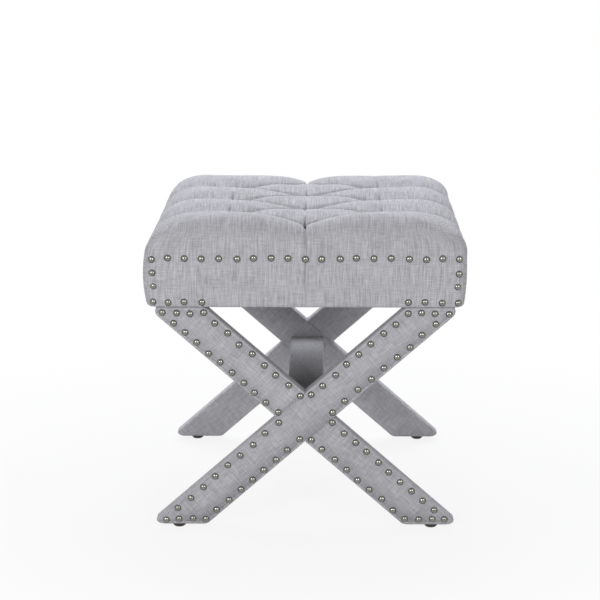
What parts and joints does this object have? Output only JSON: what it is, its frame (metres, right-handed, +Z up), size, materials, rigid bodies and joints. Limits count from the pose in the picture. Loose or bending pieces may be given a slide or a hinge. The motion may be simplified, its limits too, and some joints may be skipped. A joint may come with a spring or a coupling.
{
  "type": "tufted ottoman",
  "caption": "Square upholstered ottoman with a diamond-tufted seat on two X-shaped frames, nailhead trim and a flat stretcher.",
  "frame": {"origin": "on the floor under the middle of the seat", "axes": "+Z up, the front X frame towards -Y, +X to the right as the picture shows it"},
  "size_m": [0.4976, 0.5104, 0.4865],
  "materials": {
    "linen": "woven linen, matt",
    "hardwood": "planed, unfinished",
    "plywood": "sanded, unfinished",
    "foam": "open cell, matt",
    "nailhead": "antique pewter, polished high spots",
    "zinc_steel": "zinc plated",
    "glide_plastic": "moulded, satin",
    "dust_cloth": "non-woven, matt",
    "twine": "waxed cord",
    "toggle_plastic": "moulded, satin"
  },
  "bodies": {
    "root": {"front_long_cover": "linen", "front_upper_arm_cover": "linen", "front_lower_arm_cover": "linen", "rear_long_cover": "linen", "rear_upper_arm_cover": "linen", "rear_lower_arm_cover": "linen", "stretcher_cover": "linen", "seat_cover": "linen", "front_long_rail": "hardwood", "front_cross_rail": "hardwood", "front_leg_slat": "hardwood", "rear_long_rail": "hardwood", "rear_cross_rail": "hardwood", "rear_leg_slat": "hardwood", "stretcher_rail": "hardwood", "stretcher_dowels": "hardwood", "rail_dowels": "hardwood", "leg_dowels": "hardwood", "corner_blocks": "hardwood", "seat_front_rail": "hardwood", "seat_rear_rail": "hardwood", "seat_left_rail": "hardwood", "seat_right_rail": "hardwood", "seat_deck": "plywood", "seat_foam": "foam", "front_seat_nails": "nailhead", "rear_seat_nails": "nailhead", "front_leg_nails": "nailhead", "rear_leg_nails": "nailhead", "stretcher_screws": "zinc_steel", "corner_block_screws": "zinc_steel", "slat_screws": "zinc_steel", "deck_screws": "zinc_steel", "leg_brackets": "zinc_steel", "bracket_screws": "zinc_steel", "bracket_bolts": "zinc_steel", "threaded_inserts": "zinc_steel", "glide_nails": "zinc_steel", "dust_cover_staples": "zinc_steel", "glide_pads": "glide_plastic", "dust_cover": "dust_cloth", "tuft_twines": "twine", "tuft_toggles": "toggle_plastic"}
  },
  "joints": []
}
